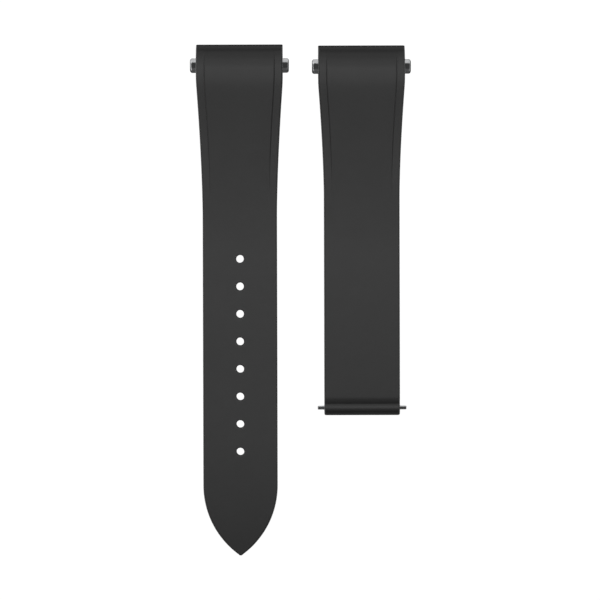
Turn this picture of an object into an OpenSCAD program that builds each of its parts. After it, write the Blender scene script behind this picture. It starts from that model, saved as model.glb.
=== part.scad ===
// Rubber watch strap in two halves, lying face up beside each other with the lug ends at +Y.
// Each half has a steel tube moulded into its lug end. The long half has the adjusting holes and a pointed tip.
// The short half ends in a roll that holds the clasp's spring bar: a barrel, two sprung pins and their spring.

/* [Lug end] */
// Gap between the watch's lugs that the strap is made for
lug_gap = 22; // [20.5:0.5:24]
// Play between each end of a lug tube and the lug beside it
tube_play = 0.1; // [0.05:0.05:0.3]
// How far each end of a lug tube stands out of the rubber
ear_out = 1.35; // [0.8:0.05:1.8]
// Height of the rubber at its crest, above what it lies on
head_h = 6.2; // [5.4:0.1:6.6]
// Distance from the lug end to the crest
crest_at = 6; // [5:0.25:7.5]
// Height of the top of the nose's front edge
nose_h = 2; // [1.4:0.1:2.6]
// Thickness of the nose's front edge
nose_edge = 0.3; // [0.2:0.05:0.5]
// Length over which the underside of the nose is cut back
nose_cut = 3.2; // [2:0.1:4]
// Distance from the lug end to where the underside leaves the table
foot_end = 8; // [6.5:0.5:12]
// Distance from the lug end to the axis of the lug tube
tube_at = 4.7; // [4.2:0.1:5.4]
// Thickness of the rubber under the lug tube
tube_floor = 1; // [0.6:0.1:1.4]

/* [Rubber section] */
// Thickness of the strap behind the lug end
body_t = 2.5; // [2.2:0.1:3]
// Height of the moulded arch under the middle of each half
arch_lift = 1; // [0.6:0.1:1.6]
// Distance from the lug end to where the sides start to draw in
flare_start = 8.2; // [6:0.1:12]
// Distance from the lug end to where the top starts to come down
blend_start = 8.5; // [7.5:0.5:12]
// Distance from the lug end to where the top has come down to the body
blend_end = 46; // [42:1:47]
// Width of the lower margin along each side of the raised panel
margin_w = 1.75; // [1.2:0.05:3]
// Height of the raised panel above its margins
step_h = 0.3; // [0.1:0.05:0.5]
// Width of the panel's rounded edge
step_run = 0.35; // [0.2:0.05:0.6]
// Distance from the lug end to where the panel's edges start
step_start = 0.8; // [0.4:0.1:3.5]
// Length over which the panel's edges rise to their full height
step_rise = 5; // [1:0.5:10]
// Distance from the lug end to where the panel's edges begin to fade
step_fade = 14; // [12:1:24]
// Distance from the lug end to where the panel's edges have faded out
step_end = 36; // [30:1:44]
// Radius of the long edges on the face
face_r = 0.4; // [0.2:0.05:0.7]
// Radius of the long edges on the back
back_r = 0.3; // [0.15:0.05:0.6]
// Radius of the lug end's corners, seen from above
corner_r = 0.2; // [0.1:0.05:0.8]

/* [Long half] */
// Length of the long half
long_len = 112.85; // [102:0.05:130]
// Width of the long half where its sides are parallel
long_w = 16.4; // [15:0.05:17]
// Distance from the lug end to where the long half's sides run parallel
long_flare_end = 38; // [32:1:44]
// Radius of the two arcs that form the point
tip_r = 19; // [15:0.5:26]
// Half the width of the point's blunt end
tip_blunt = 0.2; // [0.1:0.05:0.5]
// Thickness of the rubber at the point
tip_t = 2.4; // [1.6:0.1:2.6]
// Length over which the strap bends down before its sides curve in
slope_lead = 10; // [4:1:14]
// Diameter of an adjusting hole
hole_d = 1.7; // [1.4:0.1:2.4]
// Number of adjusting holes
hole_count = 8; // [4:1:8]
// Distance between the centres of two adjusting holes
hole_pitch = 6.075; // [5:0.025:6.5]
// Distance from the lug end to the centre of the first adjusting hole
hole_at = 47.35; // [40:0.05:52]

/* [Short half] */
// Length of the short half
short_len = 81.7; // [70:0.1:100]
// Width of the short half where its sides are parallel
short_w = 16.7; // [15.4:0.1:17]
// Distance from the lug end to where the short half's sides run parallel
short_flare_end = 33.5; // [30:0.5:42]
// Diameter of the roll that holds the clasp bar
roll_d = 3; // [2.8:0.1:3.4]
// How far the roll stands above the strap in front of its groove
roll_proud = 0; // [0:0.05:0.2]
// Distance from the clasp bar's axis to the floor of the groove
groove_at = 0.9; // [0.9:0.05:1.35]
// Length over which the strap dips down into the groove
groove_lip = 1.6; // [0.8:0.05:2]
// Distance from the clasp bar's axis to the end of the short half
roll_reach = 1.67; // [1.5:0.01:1.8]
// Radius of the corners at the roll's end, seen from above
roll_corner_r = 0.4; // [0.2:0.05:0.8]

/* [Lug tubes] */
// Outside diameter of a lug tube
tube_d = 3.2; // [2.8:0.1:3.4]
// Diameter of a lug tube's bore
tube_bore_d = 1.9; // [1.6:0.1:2.2]
// Radius round each end of a lug tube
tube_end_r = 0.5; // [0.1:0.05:0.6]
// Chamfer at each mouth of a lug tube's bore
tube_chamfer = 0.1; // [0.05:0.05:0.15]

/* [Clasp bar] */
// Gap between the clasp's ears that the bar is made for
clasp_gap = 18; // [17.6:0.2:20]
// How far each pin reaches into the clasp's ear
pin_reach = 0.8; // [0.5:0.1:1.1]
// Diameter of the part of a pin that stands out
pin_d = 0.84; // [0.6:0.02:0.84]
// Chamfer round the end of a pin
pin_chamfer = 0.12; // [0.04:0.02:0.2]
// How much larger a pin's radius is where it runs in the barrel's mouth
neck_extra = 0.04; // [0.01:0.01:0.06]
// Length of the taper from there to the part of a pin that stands out
neck_taper = 0.5; // [0.3:0.05:0.6]
// Length of a pin's collar, which runs inside the barrel
collar_l = 1; // [0.6:0.1:1.6]
// Diameter of the stem on which the spring sits
stem_d = 0.46; // [0.3:0.02:0.48]
// Length of the stem on which the spring sits
stem_l = 1.5; // [0.8:0.1:2.5]
// Outside diameter of the barrel
barrel_d = 1.6; // [1.55:0.05:1.8]
// Wall of the barrel
barrel_wall = 0.2; // [0.12:0.02:0.22]
// Length of the turned-in mouth that keeps each pin in the barrel
mouth_l = 0.5; // [0.3:0.1:0.8]
// Distance from each end of the barrel to the side of the rubber
barrel_inset = 0.15; // [0.05:0.05:0.5]
// Radial clearance of each running fit in the clasp bar
run_fit = 0.05; // [0.02:0.01:0.07]
// Diameter of the spring's wire
wire_d = 0.14; // [0.1:0.02:0.16]
// Number of turns of the spring
spring_turns = 20; // [12:1:22]
// Clearance between the spring and what is beside it
spring_play = 0.03; // [0.01:0.01:0.05]

/* [Lay-out] */
// Distance between the centre lines of the two halves
halves_pitch = 26.9; // [25:0.1:40]
// How much further back the short half's lug end lies
short_back = 0.27; // [0:0.01:2]

/* [Hidden] */
$fn = 48;

rubber = [0.235, 0.235, 0.235];
steel = [0.74, 0.74, 0.75];
spring_steel = [0.55, 0.55, 0.57];

// How far a cutting shape runs past what it cuts
over = 1;

// How sharply the sides and the top come down behind the lug end, and how far their start is rounded off
flare_power = 1.6;
flare_soft = 0.03;
blend_power = 1.9;
blend_soft = 0.05;
arch_power = 2;
nose_power = 1.5;

// An edge or a margin takes at most this share of a thin or narrow section
edge_share = 0.45;
margin_share = 0.5;

// Points round the edges of a section, and rings along each stretch of a half
back_steps = 3;
face_steps = 4;
step_steps = 3;
nose_rings = 10;
flare_rings = 20;
slope_rings = 4;
tip_rings = 14;
tail_rings = 9;
lip_rings = 6;
roll_rings = 10;
// The roll's rings stop here, short of its side, so that its last one keeps some height
roll_end_angle = 80;

// Lug tubes and the lug end
tube_l = lug_gap - 2 * tube_play;
head_w = tube_l - 2 * ear_out;
tube_z = tube_floor + tube_d / 2;
body_top = arch_lift + body_t;

// Point of the long half: arcs that start at the sides and end at the blunt end
tip_angle = acos(1 - (long_w / 2 - tip_blunt) / tip_r);
arc_at = long_len - tip_r * sin(tip_angle);
slope_at = arc_at - slope_lead;

// Roll and groove of the short half
roll_r = roll_d / 2;
bar_at = short_len - roll_reach;
roll_far = roll_reach / sin(roll_end_angle);
groove_angle = asin(groove_at / roll_r);
floor_at = bar_at - groove_at;
lip_at = floor_at - groove_lip;
lip_top = roll_d - roll_proud;
groove_top = roll_r + roll_r * cos(groove_angle);

// Clasp bar
barrel_l = short_w - 2 * barrel_inset;
barrel_bore_d = barrel_d - 2 * barrel_wall;
pin_out = (clasp_gap - barrel_l) / 2 + pin_reach;
collar_x = barrel_l / 2 - mouth_l;
collar_d = barrel_bore_d - 2 * run_fit;
neck_r = pin_d / 2 + neck_extra;
mouth_d = 2 * (neck_r + run_fit);
tunnel_d = barrel_d + 2 * run_fit;
coil_r = barrel_bore_d / 2 - spring_play - wire_d / 2;
coil_half_l = collar_x - collar_l - spring_play - wire_d / 2;
coil_sides = 6;
coil_rings = 8;

// Places of the two halves and of the axes across them
long_x = -halves_pitch / 2;
long_y = long_len / 2;
short_x = halves_pitch / 2;
short_y = long_y - short_back;
bar_y = short_y - bar_at;
bar_z = roll_r;

// Falls from 1 at start to 0 at end, with its first corner rounded off by soft
function ease(s, start, end, power, soft) =
    let (u = (s - start) / (end - start))
    let (v = (u + sqrt(u * u + soft * soft)) / 2)
    pow(max(0, 1 - v), power);

// Goes from 0 to 1 between start and end, level at both
function swell(s, start, end) = (1 - cos(180 * min(1, max(0, (s - start) / (end - start))))) / 2;

// Share of the length between start and end that lies before s
function share(s, start, end) = min(1, max(0, (s - start) / (end - start)));

// How much a corner of radius r takes off the half width, at a distance d in from the end
function corner(d, r) = d < r ? r - sqrt(r * r - pow(r - d, 2)) : 0;

function flared(s, body_w, flare_end) = body_w / 2 - corner(s, corner_r)
    + (head_w - body_w) / 2 * ease(s, flare_start, flare_end, flare_power, flare_soft);

function panel_step(s) = step_h * swell(s, step_start, step_start + step_rise)
    * (1 - swell(s, step_fade, step_end));

// Underside and top of the lug end, the same on both halves, as far as the parallel body
function head_low(s) = s < nose_cut
    ? (nose_h - nose_edge) * pow(1 - s / nose_cut, nose_power)
    : arch_lift * (1 - ease(s, foot_end, blend_end, arch_power, 0));

function head_slope(s) = ease(s, blend_start, blend_end, blend_power, blend_soft)
    / ease(crest_at, blend_start, blend_end, blend_power, blend_soft);

function head_high(s) =
    let (top = body_top + (head_h - body_top) * head_slope(s))
    let (x = max(0, 1 - s / crest_at))
    nose_h + (top - nose_h) * sqrt(1 - x * x);

function long_half_w(s) = s < arc_at
    ? flared(s, long_w, long_flare_end)
    : long_w / 2 - tip_r + sqrt(tip_r * tip_r - pow(s - arc_at, 2));

function long_low(s) = s < blend_end
    ? head_low(s)
    : arch_lift * (1 - pow(share(s, slope_at, long_len), 2));

function long_high(s) = s < blend_end
    ? head_high(s)
    : body_top - (body_top - tip_t) * pow(share(s, slope_at, long_len), 2);

function short_half_w(s) = flared(s, short_w, short_flare_end) - corner(short_len - s, roll_corner_r);

// Half the height of the roll, which is drawn out towards the strap's end
function roll_rise(s) = roll_r * sqrt(1 - pow((s - bar_at) / (s < bar_at ? roll_r : roll_far), 2));

function short_low(s) = s < blend_end
    ? head_low(s)
    : s < bar_at
        ? arch_lift * (1 - pow(share(s, blend_end, bar_at), 2))
        : roll_r - roll_rise(s);

function short_high(s) = s < blend_end
    ? head_high(s)
    : s < floor_at
        ? body_top - (body_top - lip_top) * pow(share(s, blend_end, floor_at), 2)
            - (lip_top - groove_top) * pow(share(s, lip_at, floor_at), 2)
        : roll_r + roll_rise(s);

// Right half of a cross-section, from the flat of the back, round the edge, to the flat of the face
function half_section(half_w, low, high, step) =
    let (margin_z = high - step)
    let (room = min(margin_z - low, half_w) * edge_share)
    let (back = min(back_r, room))
    let (face = min(face_r, room))
    let (foot_x = half_w - min(margin_w, half_w * margin_share))
    let (run = min(step_run, foot_x * margin_share))
    concat(
        [for (i = [0 : back_steps])
            let (a = 90 * i / back_steps)
            [half_w - back + back * sin(a), low + back - back * cos(a)]],
        [for (i = [0 : face_steps])
            let (a = 90 * i / face_steps)
            [half_w - face + face * cos(a), margin_z - face + face * sin(a)]],
        [for (i = [0 : step_steps])
            let (a = 90 * i / step_steps)
            [foot_x - run * (1 - cos(a)), margin_z + step * sin(a)]]
    );

// Whole cross-section as a ring of points, s behind the lug end of a half whose lug end is at x, y
function ring(x, y, s, half_w, low, high, step) =
    let (right = half_section(half_w, low, high, step))
    concat(
        [for (p = right) [x + p[0], y - s, p[1]]],
        [for (i = [len(right) - 1 : -1 : 0]) [x - right[i][0], y - s, right[i][1]]]
    );

// Skin over a row of rings that all have the same number of points
module skin(rings) {
    n = len(rings[0]);
    last = len(rings) - 1;
    points = [for (r = rings) each r];
    sides = [for (i = [0 : last - 1], k = [0 : n - 1])
        let (a = i * n + k)
        let (b = i * n + (k + 1) % n)
        each [[b, a, a + n], [b, a + n, b + n]]];
    front = [for (k = [0 : n - 1]) k];
    back = [for (k = [n - 1 : -1 : 0]) last * n + k];
    polyhedron(points = points, faces = concat([front], sides, [back]), convexity = 4);
}

// Rings from the lug end to the parallel body, closer together round the nose
function head_stations() = concat(
    [for (i = [0 : nose_rings]) crest_at * (1 - cos(90 * i / nose_rings))],
    [for (i = [1 : flare_rings]) crest_at + (blend_end - crest_at) * i / flare_rings]
);

function long_stations() = concat(
    head_stations(),
    [for (i = [0 : slope_rings]) slope_at + slope_lead * i / slope_rings],
    [for (i = [1 : tip_rings]) arc_at + tip_r * sin(tip_angle * i / tip_rings)]
);

function short_stations() = concat(
    head_stations(),
    [for (i = [1 : tail_rings]) blend_end + (lip_at - blend_end) * i / tail_rings],
    [for (i = [1 : lip_rings]) lip_at + groove_lip * i / lip_rings],
    [for (i = [1 : roll_rings])
        let (a = (groove_angle + roll_end_angle) * i / roll_rings - groove_angle)
        bar_at + (a < 0 ? roll_r : roll_far) * sin(a)]
);

// Round shape whose axis of turning is laid along X
module across(x, y, z) {
    translate([x, y, z])
        rotate([0, 90, 0])
            children();
}

module lug_tube_cut(x, y) {
    across(x, y - tube_at, tube_z)
        cylinder(d = tube_d, h = head_w + 2 * over, center = true);
}

module long_strap() {
    color(rubber)
        difference() {
            skin([for (s = long_stations())
                ring(long_x, long_y, s, long_half_w(s), long_low(s), long_high(s), panel_step(s))]);
            lug_tube_cut(long_x, long_y);
            for (i = [0 : hole_count - 1])
                translate([long_x, long_y - hole_at - i * hole_pitch, -over])
                    cylinder(d = hole_d, h = head_h + 2 * over);
        }
}

module short_strap() {
    color(rubber)
        difference() {
            skin([for (s = short_stations())
                ring(short_x, short_y, s, short_half_w(s), short_low(s), short_high(s), panel_step(s))]);
            lug_tube_cut(short_x, short_y);
            across(short_x, bar_y, bar_z)
                cylinder(d = tunnel_d, h = short_w + 2 * over, center = true);
        }
}

// Steel tube whose ends are rounded outside and chamfered at the bore
module lug_tube(x, y) {
    wall = (tube_d - tube_bore_d) / 2;
    end_r = min(tube_end_r, wall - tube_chamfer);
    color(steel)
        across(x, y - tube_at, tube_z)
            difference() {
                rotate_extrude() {
                    translate([0, -tube_l / 2])
                        square([tube_d / 2 - end_r, tube_l]);
                    translate([0, end_r - tube_l / 2])
                        square([tube_d / 2, tube_l - 2 * end_r]);
                    for (side = [-1, 1])
                        translate([tube_d / 2 - end_r, side * (tube_l / 2 - end_r)])
                            circle(r = end_r);
                }
                cylinder(d = tube_bore_d, h = tube_l + 2 * over, center = true);
                for (side = [0, 180])
                    rotate([side, 0, 0])
                        translate([0, 0, tube_l / 2 - tube_chamfer])
                            cylinder(d1 = tube_bore_d, d2 = tube_bore_d + 4 * tube_chamfer, h = 2 * tube_chamfer);
            }
}

module long_lug_tube() {
    lug_tube(long_x, long_y);
}

module short_lug_tube() {
    lug_tube(short_x, short_y);
}

// Thin tube whose ends are turned in round the pins
module clasp_bar_barrel() {
    color(steel)
        across(short_x, bar_y, bar_z)
            difference() {
                cylinder(d = barrel_d, h = barrel_l, center = true);
                cylinder(d = barrel_bore_d, h = 2 * collar_x, center = true);
                cylinder(d = mouth_d, h = barrel_l + 2 * over, center = true);
            }
}

// Turned pin with its axis on Z: stem, collar against the barrel's mouth, neck in it, and chamfered end outside
module clasp_pin() {
    end_z = barrel_l / 2 + pin_out;
    color(steel)
        rotate_extrude()
            polygon([
                [0, collar_x - collar_l - stem_l],
                [stem_d / 2, collar_x - collar_l - stem_l],
                [stem_d / 2, collar_x - collar_l],
                [collar_d / 2, collar_x - collar_l],
                [collar_d / 2, collar_x],
                [neck_r, collar_x],
                [neck_r, barrel_l / 2],
                [pin_d / 2, barrel_l / 2 + neck_taper],
                [pin_d / 2, end_z - pin_chamfer],
                [pin_d / 2 - pin_chamfer, end_z],
                [0, end_z]
            ]);
}

module clasp_bar_pin_left() {
    across(short_x, bar_y, bar_z)
        rotate([180, 0, 0])
            clasp_pin();
}

module clasp_bar_pin_right() {
    across(short_x, bar_y, bar_z)
        clasp_pin();
}

// Middle of the spring's wire, part way round and along its turns
function coil_angle(i) = 360 * i / coil_rings;
function coil_z(i) = coil_half_l * (2 * i / (coil_rings * spring_turns) - 1);
function coil_point(i) = [coil_r * cos(coil_angle(i)), coil_r * sin(coil_angle(i)), coil_z(i)];

// Ring of points round the wire, square to it
function coil_ring(i) =
    let (climb = atan(2 * coil_half_l / spring_turns / (2 * PI * coil_r)))
    let (out = [cos(coil_angle(i)), sin(coil_angle(i)), 0])
    let (up = [sin(coil_angle(i)) * sin(climb), -cos(coil_angle(i)) * sin(climb), cos(climb)])
    [for (k = [coil_sides - 1 : -1 : 0])
        let (a = 360 * k / coil_sides)
        coil_point(i) + wire_d / 2 * (cos(a) * out + sin(a) * up)];

module clasp_bar_spring() {
    turns_apart = min([for (i = [0 : coil_rings * (spring_turns - 1)], k = [-1 : 1])
        if (i + k >= 0) norm(coil_point(i + k + coil_rings) - coil_point(i))]);
    echo(least_gap_of_spring_to_itself = turns_apart - wire_d);
    color(spring_steel)
        across(short_x, bar_y, bar_z)
            skin([for (i = [0 : coil_rings * spring_turns]) coil_ring(i)]);
}

long_strap();
long_lug_tube();
short_strap();
short_lug_tube();
clasp_bar_barrel();
clasp_bar_pin_left();
clasp_bar_pin_right();
clasp_bar_spring();
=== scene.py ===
# Rubber watch strap in two halves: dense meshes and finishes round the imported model
import math

import bmesh
import bpy
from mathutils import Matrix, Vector


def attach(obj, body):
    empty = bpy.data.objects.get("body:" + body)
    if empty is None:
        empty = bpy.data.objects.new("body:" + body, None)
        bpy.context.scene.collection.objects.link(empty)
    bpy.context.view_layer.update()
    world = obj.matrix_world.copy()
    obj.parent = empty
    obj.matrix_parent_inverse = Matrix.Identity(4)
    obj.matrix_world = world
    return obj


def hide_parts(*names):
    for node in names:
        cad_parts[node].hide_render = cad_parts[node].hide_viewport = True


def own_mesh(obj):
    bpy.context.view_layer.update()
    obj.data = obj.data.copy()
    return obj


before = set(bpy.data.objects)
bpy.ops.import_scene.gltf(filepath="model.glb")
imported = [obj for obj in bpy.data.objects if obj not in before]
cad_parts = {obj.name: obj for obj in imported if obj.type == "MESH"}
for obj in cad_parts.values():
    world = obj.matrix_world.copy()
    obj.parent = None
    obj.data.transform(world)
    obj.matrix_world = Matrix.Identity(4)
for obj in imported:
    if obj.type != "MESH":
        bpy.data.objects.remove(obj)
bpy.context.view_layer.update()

mm = 0.001
quarter = math.pi / 2
print("packed model loaded:", sorted(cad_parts))


# Shader tools: a socket that takes part in sums, and a finish that adds nodes

class Wire:
    def __init__(self, finish, socket):
        self.finish = finish
        self.socket = socket

    def calc(self, operation, first, second):
        return self.finish.add("ShaderNodeMath", {"operation": operation}, {0: first, 1: second})

    def __add__(self, other):
        return self.calc("ADD", self, other)

    def __radd__(self, other):
        return self.calc("ADD", other, self)

    def __sub__(self, other):
        return self.calc("SUBTRACT", self, other)

    def __rsub__(self, other):
        return self.calc("SUBTRACT", other, self)

    def __mul__(self, other):
        return self.calc("MULTIPLY", self, other)

    def __rmul__(self, other):
        return self.calc("MULTIPLY", other, self)


class Finish:
    def __init__(self, tree):
        self.tree = tree
        tree.nodes.clear()

    # kind of node, settings that come before its sockets, values or wires for its sockets, output wanted
    def add(self, kind, settings={}, sockets={}, output=0):
        node = self.tree.nodes.new(kind)
        for name, value in settings.items():
            setattr(node, name, value)
        for name, value in sockets.items():
            if isinstance(value, Wire):
                self.tree.links.new(value.socket, node.inputs[name])
            else:
                node.inputs[name].default_value = value
        return Wire(self, node.outputs[output]) if node.outputs else node

    # size in mm of the spots that the noise draws
    def noise(self, place, size, detail=2, raggedness=0.5, stretch=None):
        if stretch:
            place = self.add("ShaderNodeVectorMath", {"operation": "MULTIPLY"}, {0: place, 1: stretch})
        return self.add("ShaderNodeTexNoise", {}, {
            "Vector": place, "Scale": 1 / (size * mm), "Detail": detail, "Roughness": raggedness})

    # value between low and high becomes 0 to 1
    def window(self, value, low, high):
        return self.add("ShaderNodeMapRange", {"clamp": True}, {
            "Value": value, "From Min": low, "From Max": high})

    def blendColour(self, amount, first, second):
        return self.add("ShaderNodeMix", {"data_type": "RGBA"}, {0: amount, 6: first, 7: second}, 2)

    # depth in mm that a height of 1 stands for, on top of the bump below if there is one
    def bump(self, height, depth, below=None):
        sockets = {"Strength": 1, "Distance": depth * mm, "Height": height}
        if below:
            sockets["Normal"] = below
        return self.add("ShaderNodeBump", {}, sockets)

    def surface(self, sockets):
        shader = self.add("ShaderNodeBsdfPrincipled", {}, sockets)
        self.add("ShaderNodeOutputMaterial", {}, {"Surface": shader})


def newFinish(name):
    material = bpy.data.materials.new(name)
    material.use_nodes = True
    return material, Finish(material.node_tree)


def grey(value, tint=0.0):
    return (value * (1 - tint), value, value * (1 + tint), 1)


# Rubber: matte, with fine grain, faint clouding, a little polish along the edges and a lighter colour there
# that is partly wear and partly painted highlight

rubberLook = {
    "darker": grey(0.028), "lighter": grey(0.033), "mottleWindow": (0.3, 0.7),
    "cloudSize": 7, "cloudDetail": 3, "speckSize": 0.35, "speckShare": 0.35,
    "edgeWearAndHighlight": grey(0.075), "edgeWearAndHighlightShare": 0.6, "edgeWearAndHighlightWindow": (0.515, 0.56), "wornPolish": 0.05,
    "roughness": 0.3, "roughnessSpread": 0.06, "ior": 1.5,
    "grainSize": 0.11, "grainDetail": 3, "grainRaggedness": 0.6, "grainDepth": 0.006,
    "waveSize": 2.6, "waveDepth": 0.012,
}


def makeRubber(name, look):
    material, finish = newFinish(name)
    place = finish.add("ShaderNodeTexCoord", {}, {}, "Object")
    cloud = finish.noise(place, look["cloudSize"], look["cloudDetail"])
    speck = finish.noise(place, look["speckSize"])
    grain = finish.noise(place, look["grainSize"], look["grainDetail"], look["grainRaggedness"])
    wave = finish.noise(place, look["waveSize"])
    edge = finish.add("ShaderNodeNewGeometry", {}, {}, "Pointiness")
    edge = finish.window(edge, *look["edgeWearAndHighlightWindow"])
    mottle = (1 - look["speckShare"]) * cloud + look["speckShare"] * speck
    mottle = finish.window(mottle, *look["mottleWindow"])
    colour = finish.blendColour(mottle, look["darker"], look["lighter"])
    # Lighter colour along the edges: partly rubbed wear, partly a painted highlight where the rounded rims
    # catch light
    colour = finish.blendColour(edge * look["edgeWearAndHighlightShare"], colour, look["edgeWearAndHighlight"])
    roughness = look["roughness"] + look["roughnessSpread"] * (speck - 0.5) - look["wornPolish"] * edge
    normal = finish.bump(grain, look["grainDepth"], finish.bump(wave, look["waveDepth"]))
    finish.surface({"Base Color": colour, "Roughness": roughness, "Normal": normal, "IOR": look["ior"]})
    return material


# Steel: turned or drawn, with fine lines round the X axis, a dull haze and a few marks

steelLooks = {
    "tube": {"colour": grey(0.62, 0.01), "dull": grey(0.50, 0.01), "roughness": 0.16, "spread": 0.10,
             "lineSize": 0.05, "lineDepth": 0.0006},
    "bar": {"colour": grey(0.52, 0.01), "dull": grey(0.42, 0.01), "roughness": 0.24, "spread": 0.12,
            "lineSize": 0.04, "lineDepth": 0.0008},
    "spring": {"colour": grey(0.42, 0.01), "dull": grey(0.33, 0.01), "roughness": 0.32, "spread": 0.12,
               "lineSize": 0.03, "lineDepth": 0.0005},
}

steelWear = {
    "hazeSize": 0.8, "hazeDetail": 3, "hazeWindow": (0.35, 0.75), "hazeDulling": 0.7, "hazeShare": 0.5,
    "lineStretch": (1, 0.06, 0.06), "wearFrom": 0.3,
    "markSize": 0.22, "markRaggedness": 0.6, "markStretch": (1, 0.3, 0.3), "markWindow": (0.6, 0.72),
    "markRoughness": 0.08, "markDepth": 0.4,
}


def makeSteel(name, look, wear):
    material, finish = newFinish(name)
    place = finish.add("ShaderNodeTexCoord", {}, {}, "Object")
    lines = finish.noise(place, look["lineSize"], stretch=wear["lineStretch"])
    haze = finish.noise(place, wear["hazeSize"], wear["hazeDetail"])
    marks = finish.noise(place, wear["markSize"], 2, wear["markRaggedness"], wear["markStretch"])
    marks = finish.window(marks, *wear["markWindow"])
    dulled = finish.window(haze, *wear["hazeWindow"]) * wear["hazeDulling"]
    edgeWearAndHighlight = wear["hazeShare"] * haze + (1 - wear["hazeShare"]) * lines - wear["wearFrom"]
    finish.surface({
        "Base Color": finish.blendColour(dulled, look["colour"], look["dull"]),
        "Roughness": look["roughness"] + look["spread"] * edgeWearAndHighlight + wear["markRoughness"] * marks,
        "Normal": finish.bump(lines - wear["markDepth"] * marks, look["lineDepth"]), "Metallic": 1.0})
    return material


# Mesh tools: every length is in mm until solidMesh scales it

meshing = {"weld": 0.0002, "thin": 0.0001, "crease": 38, "turnedCrease": 30, "cutSides": 96, "cutOver": 1}


# Faces between two rows of as many points
def bridge(row, nextRow, closed):
    faces = []
    for i in range(len(row) if closed else len(row) - 1):
        j = (i + 1) % len(row)
        faces.append((row[i], row[j], nextRow[j], nextRow[i]))
    return faces


# Mesh with its doubled points joined and its faces turned outwards
def solidMesh(name, points, faces):
    shape = bmesh.new()
    corners = [shape.verts.new(Vector(p) * mm) for p in points]
    for face in faces:
        shape.faces.new([corners[i] for i in face])
    bmesh.ops.remove_doubles(shape, verts=shape.verts, dist=meshing["weld"] * mm)
    bmesh.ops.dissolve_degenerate(shape, edges=shape.edges, dist=meshing["thin"] * mm)
    bmesh.ops.recalc_face_normals(shape, faces=shape.faces)
    mesh = bpy.data.meshes.new(name)
    shape.to_mesh(mesh)
    shape.free()
    return mesh


# Smooth shading, broken at edges that bend by more than crease degrees
def smoothed(mesh, crease):
    mesh.polygons.foreach_set("use_smooth", [True] * len(mesh.polygons))
    mesh.set_sharp_from_angle(angle=math.radians(crease))


def newObject(name, data):
    thing = bpy.data.objects.new(name, data)
    bpy.context.scene.collection.objects.link(thing)
    return thing


def newPiece(name, points, faces, material, body, node, crease=meshing["crease"]):
    piece = newObject(name, solidMesh(name, points, faces))
    piece.data.materials.append(material)
    smoothed(piece.data, crease)
    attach(piece, body)
    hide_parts(node)
    return piece


# Outline whose corners are (along, out, radius): each corner is rounded by its radius
def rounded(corners, closed, steps):
    outline = []
    last = len(corners) - 1
    for i, (along, out, radius) in enumerate(corners):
        here = Vector((along, out))
        if radius == 0 or (not closed and i in (0, last)):
            outline.append(here)
            continue
        before = (Vector(corners[i - 1][:2]) - here).normalized()
        after = (Vector(corners[(i + 1) % len(corners)][:2]) - here).normalized()
        half = before.angle(after) / 2
        centre = here + (before + after).normalized() * (radius / math.sin(half))
        start = here + before * (radius / math.tan(half)) - centre
        end = here + after * (radius / math.tan(half)) - centre
        sweep = start.angle_signed(end)  # counts clockwise
        for k in range(steps + 1):
            a = -sweep * k / steps
            outline.append(centre + Vector((start.x * math.cos(a) - start.y * math.sin(a),
                                            start.x * math.sin(a) + start.y * math.cos(a))))
    return outline


# Outline turned about the X axis through centre
def turned(outline, centre, closed, sides):
    points, rows, faces = [], [], []
    for k in range(sides):
        a = math.tau * k / sides
        rows.append(range(len(points), len(points) + len(outline)))
        for p in outline:
            points.append((centre[0] + p.x, centre[1] + p.y * math.cos(a), centre[2] + p.y * math.sin(a)))
    for row, nextRow in zip(rows, rows[1:] + rows[:1]):
        faces += bridge(row, nextRow, closed)
    return points, faces


# Round cut along X through a piece that is as wide as width
def cutAcross(piece, centre, radius, width):
    far = width / 2 + meshing["cutOver"]
    outline = [Vector((-far, 0)), Vector((-far, radius)), Vector((far, radius)), Vector((far, 0))]
    mesh = solidMesh("cutter", *turned(outline, centre, False, meshing["cutSides"]))
    cutter = newObject("cutter", mesh)
    cut = piece.modifiers.new("cut", "BOOLEAN")
    cut.operation = "DIFFERENCE"
    cut.solver = "EXACT"
    cut.object = cutter
    bpy.context.view_layer.update()
    shaped = bpy.data.meshes.new_from_object(piece.evaluated_get(bpy.context.evaluated_depsgraph_get()))
    piece.modifiers.clear()
    bare = piece.data
    piece.data = shaped
    bpy.data.objects.remove(cutter)
    bpy.data.meshes.remove(mesh)
    bpy.data.meshes.remove(bare)

    # Where the cut meets an edge it leaves points a hair apart
    shape = bmesh.new()
    shape.from_mesh(shaped)
    bmesh.ops.remove_doubles(shape, verts=shape.verts, dist=meshing["weld"] * mm)
    shape.to_mesh(shaped)
    shape.free()
    smoothed(shaped, meshing["crease"])


# Shape of the rubber: the same formulas as the part's source, s runs from the lug end

layOut = {"pitch": 26.9, "shortBack": 0.27}

lugEnd = {
    "width": 19.1, "height": 6.2, "crestAt": 6, "cornerR": 0.2,
    "noseHeight": 2, "noseEdge": 0.3, "noseCut": 3.2, "nosePower": 1.5, "footEnd": 8,
    "flareStart": 8.2, "flarePower": 1.6, "flareSoft": 0.03,
    "blendStart": 8.5, "blendEnd": 46, "blendPower": 1.9, "blendSoft": 0.05,
}

section = {
    "bodyTop": 3.5, "archLift": 1, "backR": 0.3, "faceR": 0.4, "edgeShare": 0.45,
    "marginWidth": 1.75, "marginShare": 0.5, "stepHeight": 0.3, "stepRun": 0.35,
    "stepStart": 0.8, "stepRise": 5, "stepFade": 14, "stepEnd": 36, "bandShare": 0.85,
}


# Falls from 1 at start to 0 at end. power bends it and soft rounds the turn at its start
def ease(s, start, end, power, soft=0.0):
    u = (s - start) / (end - start)
    return max(0.0, 1 - (u + math.sqrt(u * u + soft * soft)) / 2) ** power


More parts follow.
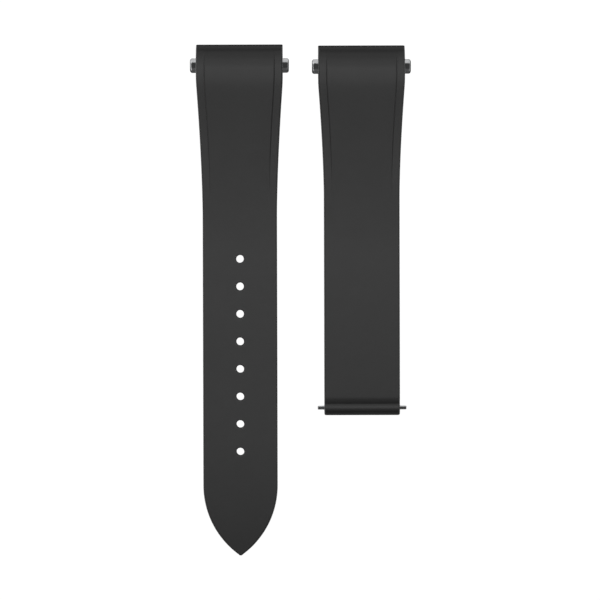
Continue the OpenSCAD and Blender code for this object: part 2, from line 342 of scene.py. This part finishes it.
def share(s, start, end):
    return min(1.0, max(0.0, (s - start) / (end - start)))


def swell(s, start, end):
    return (1 - math.cos(math.pi * share(s, start, end))) / 2


# How far a corner of radius r has drawn in at distance d from the end
def cornerCut(d, r):
    return r - math.sqrt(r * r - (r - d) ** 2) if d < r else 0.0


# Half the width from above, from the broad lug end to the body of the half
def flared(s, half):
    drawn = ease(s, lugEnd["flareStart"], half["flareEnd"], lugEnd["flarePower"], lugEnd["flareSoft"])
    return half["width"] / 2 + (lugEnd["width"] - half["width"]) / 2 * drawn - cornerCut(s, lugEnd["cornerR"])


def panelStep(s):
    rise = swell(s, section["stepStart"], section["stepStart"] + section["stepRise"])
    return section["stepHeight"] * rise * (1 - swell(s, section["stepFade"], section["stepEnd"]))


def headLow(s):
    if s < lugEnd["noseCut"]:
        lift = lugEnd["noseHeight"] - lugEnd["noseEdge"]
        return lift * (1 - s / lugEnd["noseCut"]) ** lugEnd["nosePower"]
    return section["archLift"] * (1 - ease(s, lugEnd["footEnd"], lugEnd["blendEnd"], 2))


def headSlope(s):
    return ease(s, lugEnd["blendStart"], lugEnd["blendEnd"], lugEnd["blendPower"], lugEnd["blendSoft"])


def headHigh(s):
    slope = headSlope(s) / headSlope(lugEnd["crestAt"])
    top = section["bodyTop"] + (lugEnd["height"] - section["bodyTop"]) * slope
    x = max(0.0, 1 - s / lugEnd["crestAt"])
    return lugEnd["noseHeight"] + (top - lugEnd["noseHeight"]) * math.sqrt(1 - x * x)


# Adjusting holes: each sits in a square cell of the band, which is the strip of small faces down the middle

holes = {"diameter": 1.7, "count": 8, "pitch": 6.075, "at": 47.35, "lip": 0.09}
cellHalf = holes["pitch"] / 2
cellCentres = [holes["at"] + i * holes["pitch"] for i in range(holes["count"])]
cellsStart, cellsEnd = cellCentres[0] - cellHalf, cellCentres[-1] + cellHalf


# Sections and skins of both halves

fineness = {"band": 12, "panel": 5, "step": 6, "margin": 5, "edge": 6, "wall": 3, "back": 8,
            "nose": 26, "head": 78, "lip": 5, "flat": (0.12, 0.3, 0.55, 0.78, 1), "bore": 4}


# Foot of the raised panel's edge, and how far that edge runs in from it
def panelFoot(halfWidth):
    foot = halfWidth - min(section["marginWidth"], halfWidth * section["marginShare"])
    return foot, min(section["stepRun"], foot * section["marginShare"])


def bandHalf(halfWidth):
    foot, run = panelFoot(halfWidth)
    return min(cellHalf, section["bandShare"] * (foot - run))


# Right side of a section as (x, z), from the band on the face, round the edge, to the band on the back
def sideProfile(halfWidth, low, high, step):
    band = bandHalf(halfWidth)
    foot, run = panelFoot(halfWidth)
    marginZ = high - step
    room = min(marginZ - low, halfWidth) * section["edgeShare"]
    back = min(section["backR"], room)
    face = min(section["faceR"], room)
    points = []
    for i in range(fineness["panel"]):
        points.append((band + (foot - run - band) * i / fineness["panel"], high))
    for i in range(fineness["step"] + 1):
        a = quarter * (1 - i / fineness["step"])
        points.append((foot - run * (1 - math.cos(a)), marginZ + step * math.sin(a)))
    for i in range(1, fineness["margin"]):
        points.append((foot + (halfWidth - face - foot) * i / fineness["margin"], marginZ))
    for i in range(fineness["edge"] + 1):
        a = quarter * i / fineness["edge"]
        points.append((halfWidth - face + face * math.sin(a), marginZ - face + face * math.cos(a)))
    for i in range(1, fineness["wall"]):
        points.append((halfWidth, marginZ - face + (low + back - marginZ + face) * i / fineness["wall"]))
    for i in range(fineness["edge"] + 1):
        a = quarter * i / fineness["edge"]
        points.append((halfWidth - back + back * math.cos(a), low + back - back * math.sin(a)))
    for i in range(1, fineness["back"] + 1):
        points.append((halfWidth - back + (band - halfWidth + back) * i / fineness["back"], low))
    return points


# Skin of one half whose lug end is at place
class Skin:
    def __init__(self, place, widthAt, lowAt, highAt):
        self.place = place
        self.widthAt, self.lowAt, self.highAt = widthAt, lowAt, highAt
        self.points, self.faces = [], []

    def put(self, across, s, z):
        self.points.append((self.place[0] + across, self.place[1] - s, z))
        return len(self.points) - 1

    def addRow(self, s):
        halfWidth, low, high = self.widthAt(s), self.lowAt(s), self.highAt(s)
        side = sideProfile(halfWidth, low, high, panelStep(s))
        band = [bandHalf(halfWidth) * (2 * i / fineness["band"] - 1) for i in range(fineness["band"] + 1)]
        return {"s": s,
                "right": [self.put(x, s, z) for x, z in side],
                "left": [self.put(-x, s, z) for x, z in side],
                "face": [self.put(x, s, high) for x in band],
                "back": [self.put(x, s, low) for x in band]}

    # Sections at the stations, joined up, with the band left open at the cells and a face over each end
    def addRows(self, stations, cells=()):
        rows = [self.addRow(s) for s in stations]
        for row, nextRow in zip(rows, rows[1:]):
            middle = (row["s"] + nextRow["s"]) / 2
            inCell = any(abs(middle - centre) < cellHalf for centre in cells)
            for strip in ("right", "left") if inCell else ("right", "left", "face", "back"):
                self.faces += bridge(row[strip], nextRow[strip], False)
        for row in (rows[0], rows[-1]):
            over, under = row["face"] + row["right"][1:], row["back"][-2::-1] + row["left"][-2:0:-1]
            self.faces.append(over + under)

    # Loop about a hole's centre, from the hole's circle (square 0) out to the cell's edge (square 1)
    def addLoop(self, centre, radius, square, heightAt):
        n = fineness["band"]
        loop = []
        for i in range(4 * n):
            a = quarter * (i / n - 0.5)
            side, along = divmod(i, n)
            u = cellHalf * (2 * along / n - 1)
            edge = ((cellHalf, u), (-u, cellHalf), (-cellHalf, -u), (u, -cellHalf))[side]
            across = radius * math.cos(a) * (1 - square) + edge[0] * square
            s = centre + radius * math.sin(a) * (1 - square) + edge[1] * square
            loop.append(self.put(across, s, heightAt(s)))
        return loop

    # One hole: in over the face's rounded lip, down the bore and out over the back's
    def addHole(self, centre, radius, lip):
        mouth = [(radius + lip, 0, square) for square in reversed(fineness["flat"])]
        for i in range(fineness["lip"], -1, -1):
            a = quarter * i / fineness["lip"]
            mouth.append((radius + lip * (1 - math.cos(a)), lip * (1 - math.sin(a)), 0))
        loops = []
        for r, drop, square in mouth:
            loops.append(self.addLoop(centre, r, square, lambda s: self.highAt(s) - drop))
        for i in range(1, fineness["bore"]):
            down = i / fineness["bore"]
            loops.append(self.addLoop(centre, radius, 0, lambda s: (1 - down) * (self.highAt(s) - lip)
                                      + down * (self.lowAt(s) + lip)))
        for r, drop, square in reversed(mouth):
            loops.append(self.addLoop(centre, r, square, lambda s: self.lowAt(s) + drop))
        for loop, nextLoop in zip(loops, loops[1:]):
            self.faces += bridge(loop, nextLoop, True)


def evenly(start, end, count):
    return [start + (end - start) * i / count for i in range(1, count + 1)]


def headStations():
    crest = lugEnd["crestAt"]
    nose = [crest * (1 - math.cos(quarter * i / fineness["nose"])) for i in range(fineness["nose"] + 1)]
    return nose + evenly(crest, cellsStart, fineness["head"])


rubber = makeRubber("rubber", rubberLook)
tubeSteel = makeSteel("tubeSteel", steelLooks["tube"], steelWear)
barSteel = makeSteel("barSteel", steelLooks["bar"], steelWear)
springSteel = makeSteel("springSteel", steelLooks["spring"], steelWear)


# Long half: eight holes and a point

longHalf = {"length": 112.85, "width": 16.4, "flareEnd": 38, "tailSteps": 9,
            "tipR": 19, "tipBlunt": 0.2, "tipThickness": 2.4, "slopeLead": 10, "tipSteps": 64}
longPlace = (-layOut["pitch"] / 2, longHalf["length"] / 2)
tipAngle = math.acos(1 - (longHalf["width"] / 2 - longHalf["tipBlunt"]) / longHalf["tipR"])
arcAt = longHalf["length"] - longHalf["tipR"] * math.sin(tipAngle)
slopeAt = arcAt - longHalf["slopeLead"]


def longHalfWidth(s):
    if s < arcAt:
        return flared(s, longHalf)
    return longHalf["width"] / 2 - longHalf["tipR"] + math.sqrt(longHalf["tipR"] ** 2 - (s - arcAt) ** 2)


def longLow(s):
    if s < lugEnd["blendEnd"]:
        return headLow(s)
    return section["archLift"] * (1 - share(s, slopeAt, longHalf["length"]) ** 2)


def longHigh(s):
    if s < lugEnd["blendEnd"]:
        return headHigh(s)
    drop = section["bodyTop"] - longHalf["tipThickness"]
    return section["bodyTop"] - drop * share(s, slopeAt, longHalf["length"]) ** 2


def makeLongStrap():
    skin = Skin(longPlace, longHalfWidth, longLow, longHigh)
    tip = [arcAt + longHalf["tipR"] * math.sin(tipAngle * i / longHalf["tipSteps"])
           for i in range(1, longHalf["tipSteps"] + 1)]
    skin.addRows(headStations() + evenly(cellsStart, cellsEnd, fineness["band"] * holes["count"])
                 + evenly(cellsEnd, arcAt, longHalf["tailSteps"]) + tip, cellCentres)
    for centre in cellCentres:
        skin.addHole(centre, holes["diameter"] / 2, holes["lip"])
    return newPiece("longStrap", skin.points, skin.faces, rubber, "strap", "long_strap")


longStrap = makeLongStrap()
print("long half:", len(longStrap.data.polygons), "faces")


# Short half: groove and roll at its end

shortHalf = {
    "length": 81.7, "width": 16.7, "flareEnd": 33.5, "cornerR": 0.4,
    "rollD": 3, "rollReach": 1.67, "grooveAt": 0.9, "grooveLip": 1.6, "endTrim": 0.0005,
    "plainSteps": 66, "lipSteps": 18, "grooveSteps": 14, "rollSteps": 32,
}
shortPlace = (layOut["pitch"] / 2, longPlace[1] - layOut["shortBack"])
rollR = shortHalf["rollD"] / 2
barAt = shortHalf["length"] - shortHalf["rollReach"]
grooveAngle = math.asin(shortHalf["grooveAt"] / rollR)
floorAt = barAt - shortHalf["grooveAt"]
lipAt = floorAt - shortHalf["grooveLip"]
grooveTop = rollR + rollR * math.cos(grooveAngle)


def shortHalfWidth(s):
    return flared(s, shortHalf) - cornerCut(max(0.0, shortHalf["length"] - s), shortHalf["cornerR"])


# Half the height of the roll at s, which closes at the strap's end
def rollRise(s):
    reach = rollR if s < barAt else shortHalf["rollReach"]
    return rollR * math.sqrt(max(0.0, 1 - ((s - barAt) / reach) ** 2))


def shortLow(s):
    if s < lugEnd["blendEnd"]:
        return headLow(s)
    if s < barAt:
        return section["archLift"] * (1 - share(s, lugEnd["blendEnd"], barAt) ** 2)
    return rollR - rollRise(s)


def shortHigh(s):
    if s < lugEnd["blendEnd"]:
        return headHigh(s)
    if s < floorAt:
        lipTop = shortHalf["rollD"]
        top = section["bodyTop"] - (section["bodyTop"] - lipTop) * share(s, lugEnd["blendEnd"], floorAt) ** 2
        return top - (lipTop - grooveTop) * share(s, lipAt, floorAt) ** 2
    return rollR + rollRise(s)


def makeShortStrap():
    skin = Skin(shortPlace, shortHalfWidth, shortLow, shortHigh)
    groove = [barAt + rollR * math.sin(grooveAngle * (i / shortHalf["grooveSteps"] - 1))
              for i in range(1, shortHalf["grooveSteps"] + 1)]
    roll = [barAt + shortHalf["rollReach"] * math.sin(quarter * i / shortHalf["rollSteps"])
            for i in range(1, shortHalf["rollSteps"])]
    roll.append(shortHalf["length"] - shortHalf["endTrim"])  # at the very end face and back would meet
    skin.addRows(headStations() + evenly(cellsStart, lipAt, shortHalf["plainSteps"])
                 + evenly(lipAt, floorAt, shortHalf["lipSteps"]) + groove + roll)
    return newPiece("shortStrap", skin.points, skin.faces, rubber, "strap", "short_strap")


shortStrap = makeShortStrap()
print("short half:", len(shortStrap.data.polygons), "faces")


# Lug tubes: rounded ends, chamfered bore

lugTube = {"length": 21.8, "outerD": 3.2, "boreD": 1.9, "endR": 0.5, "chamfer": 0.1, "at": 4.7, "height": 2.6,
           "cornerSteps": 7, "sides": 96}


def tubeCentre(place):
    return (place[0], place[1] - lugTube["at"], lugTube["height"])


def makeLugTube(name, place, node):
    far, bore, outer = lugTube["length"] / 2, lugTube["boreD"] / 2, lugTube["outerD"] / 2
    mouth = bore + lugTube["chamfer"]
    corners = [(-far, mouth, 0), (-far, outer, lugTube["endR"]), (far, outer, lugTube["endR"]),
               (far, mouth, 0), (far - lugTube["chamfer"], bore, 0), (lugTube["chamfer"] - far, bore, 0)]
    outline = rounded(corners, True, lugTube["cornerSteps"])
    points, faces = turned(outline, tubeCentre(place), True, lugTube["sides"])
    return newPiece(name, points, faces, tubeSteel, "strap", node, meshing["turnedCrease"])


longLugTube = makeLugTube("longLugTube", longPlace, "long_lug_tube")
shortLugTube = makeLugTube("shortLugTube", shortPlace, "short_lug_tube")
for piece, place in ((longStrap, longPlace), (shortStrap, shortPlace)):
    cutAcross(piece, tubeCentre(place), lugTube["outerD"] / 2, lugEnd["width"])
print("lug tubes in their tunnels")


# Clasp bar: barrel, two sprung pins and the spring between them

claspBar = {
    "barrelLength": 16.4, "barrelD": 1.6, "barrelEndR": 0.14, "barrelBoreD": 1.2, "boreEndR": 0.06,
    "mouthD": 1.02, "mouthLength": 0.5, "mouthR": 0.05, "tunnelD": 1.7,
    "pinEnd": 9.8, "pinD": 0.84, "pinChamfer": 0.12, "pinSideR": 0.06, "pinEndR": 0.05, "pinTravel": 1.2,
    "neckD": 0.92, "neckTaper": 0.5, "collarD": 1.1, "collarLength": 1, "collarR": 0.05,
    "stemD": 0.46, "stemLength": 1.5, "stemR": 0.06,
    "coilR": 0.5, "coilHalf": 6.6, "coilTurns": 20, "wireD": 0.14,
    "cornerSteps": 5, "barrelSides": 64, "pinSides": 48, "ringsPerTurn": 24, "wireSides": 8,
}
barCentre = (shortPlace[0], shortPlace[1] - barAt, rollR)
barrelEnd = claspBar["barrelLength"] / 2
mouthIn = barrelEnd - claspBar["mouthLength"]
cutAcross(shortStrap, barCentre, claspBar["tunnelD"] / 2, shortHalf["width"])


def makeBarrel():
    outer, bore, mouth = claspBar["barrelD"] / 2, claspBar["barrelBoreD"] / 2, claspBar["mouthD"] / 2
    endR, boreR, mouthR = claspBar["barrelEndR"], claspBar["boreEndR"], claspBar["mouthR"]
    corners = [(-barrelEnd, mouth, mouthR), (-barrelEnd, outer, endR), (barrelEnd, outer, endR),
               (barrelEnd, mouth, mouthR), (mouthIn, mouth, 0), (mouthIn, bore, boreR),
               (-mouthIn, bore, boreR), (-mouthIn, mouth, 0)]
    outline = rounded(corners, True, claspBar["cornerSteps"])
    points, faces = turned(outline, barCentre, True, claspBar["barrelSides"])
    return newPiece("claspBarBarrel", points, faces, barSteel, "clasp_bar", "clasp_bar_barrel",
                    meshing["turnedCrease"])


# Stem, collar, neck and pin, from the bar's middle outwards. The collar rests against the barrel's mouth
def makePin(name, side, body, node):
    collarIn = mouthIn - claspBar["collarLength"]
    stemEnd = collarIn - claspBar["stemLength"]
    stem, collar, pin = claspBar["stemD"] / 2, claspBar["collarD"] / 2, claspBar["pinD"] / 2
    neck, end, chamfer = claspBar["neckD"] / 2, claspBar["pinEnd"], claspBar["pinChamfer"]
    corners = [(stemEnd, 0, 0), (stemEnd, stem, claspBar["stemR"]), (collarIn, stem, 0),
               (collarIn, collar, claspBar["collarR"]), (mouthIn, collar, claspBar["collarR"]),
               (mouthIn, neck, 0), (barrelEnd, neck, 0), (barrelEnd + claspBar["neckTaper"], pin, 0),
               (end - chamfer, pin, claspBar["pinSideR"]), (end, pin - chamfer, claspBar["pinEndR"]),
               (end, 0, 0)]
    outline = [Vector((side * p.x, p.y)) for p in rounded(corners, False, claspBar["cornerSteps"])]
    points, faces = turned(outline, barCentre, False, claspBar["pinSides"])
    return newPiece(name, points, faces, barSteel, body, node, meshing["turnedCrease"])


# Half of the coil, from the bar's middle outwards, as a tube along a helix
def makeSpringHalf(name, side):
    coilR, coilHalf, ringsPerTurn = claspBar["coilR"], claspBar["coilHalf"], claspBar["ringsPerTurn"]
    steps = ringsPerTurn * claspBar["coilTurns"] // 2
    climb = math.atan(2 * coilHalf / claspBar["coilTurns"] / (math.tau * coilR))
    points, rings, faces = [], [], []
    for i in range(steps + 1):
        a = math.tau * i / ringsPerTurn * side
        centre = Vector((coilHalf * i / steps * side, coilR * math.cos(a), coilR * math.sin(a)))
        out = Vector((0, math.cos(a), math.sin(a)))
        along = Vector((math.sin(climb), -math.sin(a) * math.cos(climb), math.cos(a) * math.cos(climb)))
        rings.append(list(range(len(points), len(points) + claspBar["wireSides"])))
        for k in range(claspBar["wireSides"]):
            b = math.tau * k / claspBar["wireSides"]
            spot = centre + claspBar["wireD"] / 2 * (math.cos(b) * out + math.sin(b) * along.cross(out))
            points.append(tuple(spot + Vector(barCentre)))
    for ring, nextRing in zip(rings, rings[1:]):
        faces += bridge(ring, nextRing, True)
    faces += [rings[0], rings[-1]]
    piece = newPiece(name, points, faces, springSteel, "clasp_bar", "clasp_bar_spring")
    [c * mm for c in barCentre]
    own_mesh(piece)
    return piece


claspBarrel = makeBarrel()
pinLeft = makePin("claspBarPinLeft", -1, "pin_left", "clasp_bar_pin_left")
pinRight = makePin("claspBarPinRight", 1, "pin_right", "clasp_bar_pin_right")
makeSpringHalf("claspBarSpringLeft", -1)
makeSpringHalf("claspBarSpringRight", 1)
print("clasp bar in its roll")


# Table, light and camera

studio = {
    "viewHeight": 550, "pixelsPerMm": 4.53, "scaleHeight": 2.6, "imagePixels": 600, "sensor": 36,
    "aim": (-0.22, -0.05), "turn": -0.15, "nearest": 10, "farthest": 20000,
    "table": 4000, "tableDrop": 0.01, "tableGlow": 1.0, "tableShade": 0.8, "tableRoughness": 0.9,
    "surround": 0.04, "lampDistance": 1500,
}

# Each light by name: degrees off straight up, bearing (0 is +Y, 90 is +X), width and height in degrees as
# seen from the strap, and glow
rubberLights = {
    "near": (9, 180, 70, 18, 0.39), "key": (9, 0, 70, 18, 1.0), "middle": (31, 0, 70, 26, 0.6),
    "far": (61, 0, 70, 34, 0.31), "sky": (16, 0, 150, 116, 0.16),
    "leftCard": (78, -90, 60, 16, 0.6), "rightCard": (78, 90, 60, 16, 0.25),
    "leftRim": (118, -90, 100, 56, 1.7), "rightRim": (118, 90, 100, 56, 1.2),
    "farRim": (106, 0, 70, 36, 0.22), "nearRim": (98, 180, 110, 40, 0.18),
}
steelLights = {
    "farWall": (95, -5, 110, 90, 0.75), "nearWall": (92, 180, 110, 96, 0.065),
    "leftWall": (74, -100, 120, 56, 0.65), "rightWall": (74, 100, 120, 56, 0.2),
    "ceiling": (0, 0, 150, 150, 0.02),
}


def makeTable():
    half, low = studio["table"] / 2, -studio["tableDrop"]
    corners = [(-half, -half, low), (half, -half, low), (half, half, low), (-half, half, low)]
    mesh = bpy.data.meshes.new("table")
    mesh.from_pydata([Vector(c) * mm for c in corners], [], [(0, 1, 2, 3)])
    table = newObject("table", mesh)
    material, finish = newFinish("tableTop")
    finish.surface({"Base Color": grey(studio["tableShade"]), "Roughness": studio["tableRoughness"],
                    "Emission Color": grey(1.0), "Emission Strength": studio["tableGlow"]})
    mesh.materials.append(material)

    # The steel doesn't mirror it, and the lights from below shine past it on the outer rims
    table.visible_glossy = False
    table.visible_diffuse = False
    table.visible_shadow = False


# Soft light that shines on the receivers only, so that rubber and steel are lit apart
def softLight(name, off, bearing, wide, tall, glow, receivers):
    distance = studio["lampDistance"] * mm
    tilt, turn = math.radians(off), math.radians(bearing)
    toLight = Vector((math.sin(tilt) * math.sin(turn), math.sin(tilt) * math.cos(turn), math.cos(tilt)))
    data = bpy.data.lights.new(name, "AREA")
    data.shape = "RECTANGLE"
    data.size = 2 * distance * math.tan(math.radians(wide / 2))
    data.size_y = 2 * distance * math.tan(math.radians(tall / 2))
    data.energy = glow * math.pi * data.size * data.size_y
    lamp = newObject(name, data)
    lamp.location = toLight * distance
    lamp.rotation_mode = "QUATERNION"
    lamp.rotation_quaternion = toLight.to_track_quat("Z", "Y")
    lamp.visible_camera = False
    group = bpy.data.collections.new(name + "Receivers")
    for piece in receivers:
        group.objects.link(piece)
    lamp.light_linking.receiver_collection = group


# White where the camera sees it, dim where it only lights
def setWorld():
    world = bpy.data.worlds.new("studio")
    bpy.context.scene.world = world
    world.use_nodes = True
    finish = Finish(world.node_tree)
    seen = finish.add("ShaderNodeLightPath", {}, {}, "Is Camera Ray")
    white = finish.add("ShaderNodeBackground", {}, {"Color": grey(1.0), "Strength": 1.0})
    dim = finish.add("ShaderNodeBackground", {}, {"Color": grey(1.0), "Strength": studio["surround"]})
    both = finish.add("ShaderNodeMixShader", {}, {0: seen, 1: dim, 2: white})
    finish.add("ShaderNodeOutputWorld", {}, {"Surface": both})


def setCamera():
    data = bpy.data.cameras.new("camera")
    data.sensor_width = studio["sensor"]
    frameWidth = studio["imagePixels"] / studio["pixelsPerMm"]
    data.lens = studio["sensor"] * (studio["viewHeight"] - studio["scaleHeight"]) / frameWidth
    data.clip_start, data.clip_end = studio["nearest"] * mm, studio["farthest"] * mm
    camera = newObject("camera", data)
    camera.location = Vector((*studio["aim"], studio["viewHeight"])) * mm
    camera.rotation_euler = (0, 0, math.radians(studio["turn"]))
    bpy.context.scene.camera = camera


makeTable()
setWorld()
setCamera()
for name, settings in rubberLights.items():
    softLight(name, *settings, [longStrap, shortStrap])
for name, settings in steelLights.items():
    softLight(name, *settings, [longLugTube, shortLugTube, claspBarrel, pinLeft, pinRight])
bpy.context.scene.view_settings.view_transform = "Standard"
print("table, light and camera")
